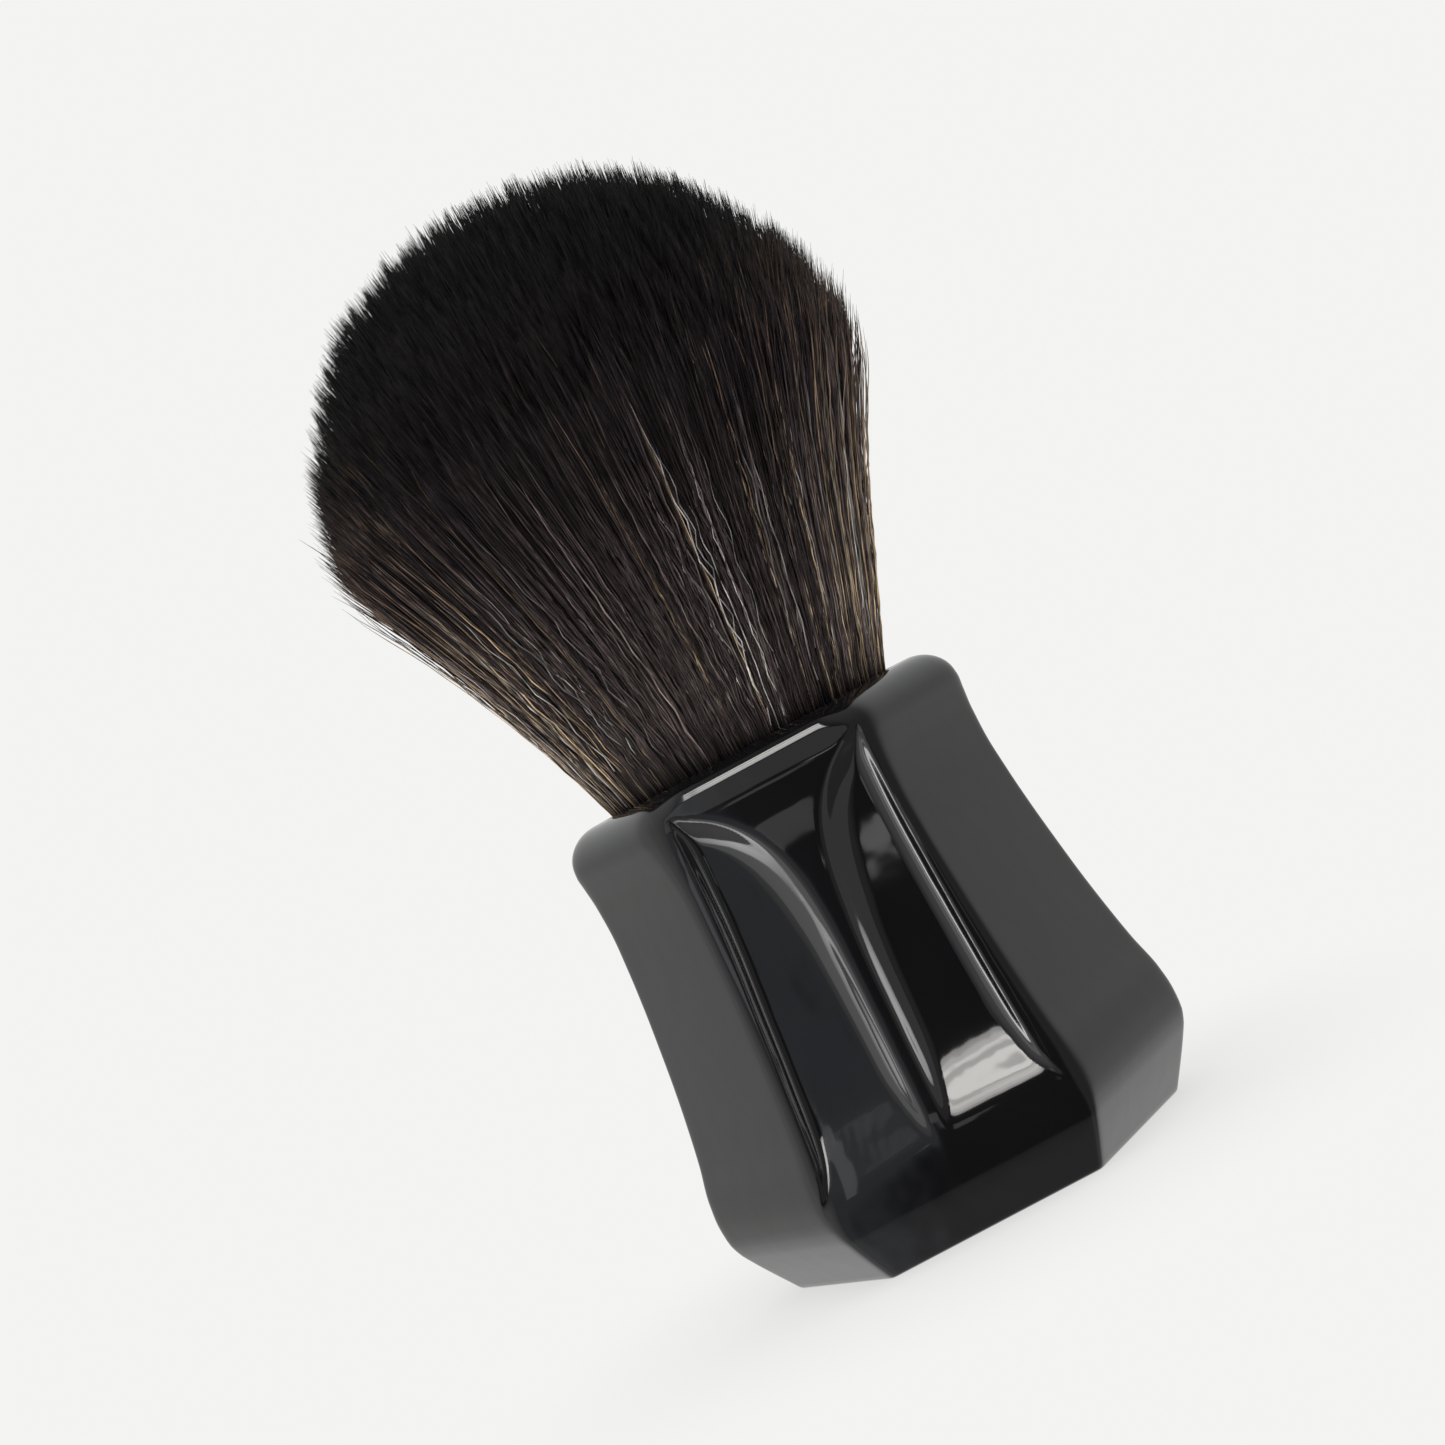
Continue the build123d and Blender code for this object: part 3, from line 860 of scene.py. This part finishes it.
def stage_world():
    """A pale backdrop for the camera, and for reflections a room that is dark in front and pale behind."""
    world = bpy.data.worlds.new("studio")
    bpy.context.scene.world = world
    world.use_nodes = True
    tree = world.node_tree
    tree.nodes.clear()
    output = tree.nodes.new("ShaderNodeOutputWorld")
    seen = tree.nodes.new("ShaderNodeBackground")
    seen.inputs["Color"].default_value = PAPER
    room = tree.nodes.new("ShaderNodeBackground")
    room.inputs["Strength"].default_value = 2.0  # the ramps hold half the radiance, because they stop at one
    coordinates = tree.nodes.new("ShaderNodeTexCoord")
    parts = tree.nodes.new("ShaderNodeSeparateXYZ")
    link(tree, coordinates.outputs["Generated"], parts.inputs[0])
    x, y, z = parts.outputs["X"], parts.outputs["Y"], parts.outputs["Z"]
    below, level, above = (0.34, 0.332, 0.328), (0.3, 0.303, 0.298), (0.385, 0.394, 0.387)
    back_stops = [(-0.95, 0.62), (-0.6, 0.53), (-0.25, below), (0.0, level), (0.35, above), (1.0, 0.5)]
    front_stops = [(-1.0, 0.16), (-0.93, 0.15), (-0.88, 0.02), (0.3, 0.02), (0.6, 0.06), (1.0, 0.14)]
    bluish = (0.19, 0.2, 0.225)
    left_stops = [
        (-1.0, 0.5), (-0.6, 0.45), (-0.3, 0.3), (-0.24, bluish), (-0.1, bluish), (-0.06, 0.01), (0.12, 0.01),
        (0.3, 0.13), (1.0, 0.12),
    ]
    turn_stops = [(-0.2, 0.0), (0.05, 0.15), (0.45, 1.0)]
    back = ramp_node(tree, z, -1, 1, back_stops)
    front = ramp_node(tree, z, -1, 1, front_stops)
    left = ramp_node(tree, x, -1, 1, left_stops)
    turn = ramp_node(tree, y, -1, 1, turn_stops)
    front = mix_node(tree, 1, front, left, blend="ADD")
    link(tree, mix_node(tree, turn, front, back), room.inputs["Color"])
    ray = tree.nodes.new("ShaderNodeLightPath")
    mix = tree.nodes.new("ShaderNodeMixShader")
    link(tree, ray.outputs["Is Camera Ray"], mix.inputs["Fac"])
    link(tree, room.outputs[0], mix.inputs[1])
    link(tree, seen.outputs[0], mix.inputs[2])
    link(tree, mix.outputs[0], output.inputs["Surface"])


# ---------------------------------------------------------------- lights, each limited to the handle or knot
PANEL_DISTANCE = 0.7  # metres from the object to the far panels
LAND_MIDDLE = 0.45  # millimetres from a pocket's outer edge to the middle of the strips beside it
WHITE, WARM = (1, 1, 1), (1, 0.985, 0.95)


def light_group(name, pieces):
    """A collection that a light is limited to."""
    group = bpy.data.collections.new(name)
    for obj in pieces:
        group.objects.link(obj)
    return group


def soft_light(name, centre, facing, along, width, height, radiance, group, colour=WHITE):
    """A rectangular soft light in metres; facing is where it faces and along is the way its height runs."""
    light = bpy.data.lights.new(name, "AREA")
    light.shape = "RECTANGLE"
    light.size, light.size_y = width, height
    light.color = colour
    light.energy = radiance * math.pi * width * height
    obj = bpy.data.objects.new(name, light)
    bpy.context.scene.collection.objects.link(obj)
    out = -Vector(facing).normalized()
    side = Vector(along).cross(out).normalized()
    rise = out.cross(side)
    obj.matrix_world = Matrix.Translation(centre) @ Matrix((side, rise, out)).transposed().to_4x4()
    obj.visible_camera = False
    obj.light_linking.receiver_collection = group
    return obj


def far_panel(name, azimuth, elevation, width, height, radiance, group, colour=WHITE):
    """A distant soft light; azimuth 0 is in front of the carved facet, + to its right; sizes are angles."""
    a, e = math.radians(azimuth), math.radians(elevation)
    out = Vector((math.sin(a) * math.cos(e), -math.cos(a) * math.cos(e), math.sin(e)))
    across = 2 * PANEL_DISTANCE * math.tan(math.radians(width / 2))
    tall = 2 * PANEL_DISTANCE * math.tan(math.radians(height / 2))
    aim = Vector((0, 0, (RIM + 1) * MM))
    soft_light(name, aim + out * PANEL_DISTANCE, -out, (0, 0, 1), across, tall, radiance, group, colour)


def facet_strip(facet, name, side, stand_off, width, low, high, radiance, half_beam, dip, climb):
    """A narrow light over the land beside a pocket, lengthwise, that faces across a carved facet.

    It stands off the facet by stand_off millimetres and runs from low to high. A half_beam under 90 degrees
    keeps its light near the way it faces, dip turns that way in towards the facet and climb turns it up.
    """
    foot, head = (CARVED * float(corner(z)) for z in (low, high))
    foot_x, head_x = (float(outer_edge(z)) + LAND_MIDDLE for z in (low, high))
    middle = (foot + head) / 2 + stand_off + width / 2
    along = Vector((side * (foot_x - head_x), foot - head, high - low))
    centre = Vector((-side * (foot_x + head_x) / 2, -middle, (low + high) / 2)) * MM
    tilt, rise = math.radians(dip), math.radians(climb)
    level = math.cos(tilt)
    facing = Vector((side * level * math.cos(rise), math.sin(tilt), level * math.sin(rise)))
    for vector in (centre, along, facing):
        vector.rotate(Matrix.Rotation(math.radians(FACET_STEP * facet), 3, "Z"))
    name = f"strip_{facet}_{name}"
    strip = soft_light(name, centre, facing, along, width * MM, along.length * MM, radiance, on_handle)
    if half_beam < 90:
        half = math.radians(half_beam)
        strip.data.spread = 2 * half
        strip.data.energy *= (math.tan(half) - half) / math.tan(half)


def near_card(name, place, lean, width, height, radiance):
    """A small soft light in front of the handle, in millimetres, for one reflection on the front facet."""
    centre, along = Vector(place) * MM, (lean, 0, 1)
    soft_light(name, centre, (0, 1, 0), along, width * MM, height * MM, radiance, on_handle)


stage_floor()
stage_world()
on_handle = light_group("lit_handle", [handle])
on_knot = light_group("lit_knot", lower_parts + upper_parts + [low_core, high_core])
# bands of light that the slope at the right pocket's foot reflects: (elevation, height, radiance)
FOOT_LIGHTS = (
    (46, 6, 12), (40, 5, 8), (35.5, 4, 14), (31.5, 4, 8), (27.5, 4, 11), (24, 3, 9), (21.3, 2.4, 6),
)
for number, (elevation, height, radiance) in enumerate(FOOT_LIGHTS):
    far_panel(f"light_foot_{number}", 0.5, elevation, 11, height, radiance, on_handle, WARM)
# other far panels: (name, azimuth, elevation, width, height, radiance, what it lights)
PANELS = (
    ("light_foot_left", -7, 28, 6, 8, 0.25, on_handle),
    ("light_knot_front", 2, 25, 18, 18, 18, on_knot),
    ("light_knot_left", -45, 5, 40, 60, 5.5, on_knot),
    ("light_knot_right", 40, 5, 30, 60, 6, on_knot),
    ("light_knot_back", 178, 18, 30, 40, 4, on_knot),
)
for panel in PANELS:
    far_panel(*panel)
# strips over each carved facet: (name, side, stand-off, width, low, high, radiance, half beam, dip, climb)
STRIPS = (
    ("left_edge", 1, 0.4, 1.8, 9, 41, 11, 22, 4, 0),
    ("left_curve", 1, 3.6, 1.4, 30, 38, 7, 34, 32, 38),
    ("left_rib", 1, 3.3, 1.2, 9, 38, 7, 15, 24, 0),
    ("left_soft", 1, 4.5, 7.5, 9, 36, 0.8, 90, 0, 0),
    ("right_edge", -1, 0.4, 1.2, 9, 41, 2.4, 22, 4, 0),
    ("right_rib", -1, 3.3, 1.2, 9, 36, 9, 15, 24, 0),
    ("right_soft", -1, 4.5, 7.5, 9, 36, 0.4, 90, 0, 0),
)
for facet in range(0, FACETS, 2):
    for strip in STRIPS:
        facet_strip(facet, *strip)
# cards in front of the handle: (name, place, lean, width, height, radiance)
CARDS = (
    ("card_funnel", (-4, -96, RIM - 19.5), 0.3, 10, 9, 0.8),
    ("card_lip", (-1, -36, RIM + 0.5), 0.06, 26, 8, 0.55),
    ("card_pocket", (6, -56, RIM - 8.5), 0.15, 7, 2, 2.0),
)
for card in CARDS:
    near_card(*card)


# ---------------------------------------------------------------- camera
CAMERA_TURN = math.radians(2.9)  # how far it stands to the right of the front
ROLL = math.radians(28.3)
SENSOR_WIDTH = 36
LENS = SENSOR_WIDTH * 2.0533
CAMERA_DISTANCE = 0.258  # metres
AIM_ACROSS, AIM_OVER_RIM = -0.00117, 0.0027  # from the axis and from the rim, in metres

scene = bpy.context.scene
camera_data = bpy.data.cameras.new("camera")
camera = bpy.data.objects.new("camera", camera_data)
scene.collection.objects.link(camera)
scene.camera = camera
camera_data.sensor_width = SENSOR_WIDTH
camera_data.lens = LENS
camera_data.clip_start, camera_data.clip_end = 0.01, 20
back = Vector((math.sin(CAMERA_TURN), -math.cos(CAMERA_TURN), 0))
across = Vector((math.cos(CAMERA_TURN), math.sin(CAMERA_TURN), 0))
up = Vector((0, 0, 1))
right_axis = across * math.cos(ROLL) - up * math.sin(ROLL)
up_axis = across * math.sin(ROLL) + up * math.cos(ROLL)
aim = across * AIM_ACROSS + up * (RIM * MM + AIM_OVER_RIM)
turn = Matrix((right_axis, up_axis, back)).transposed().to_4x4()
camera.matrix_world = Matrix.Translation(aim + back * CAMERA_DISTANCE) @ turn

scene.view_settings.view_transform = "Standard"
scene.view_settings.look = "None"
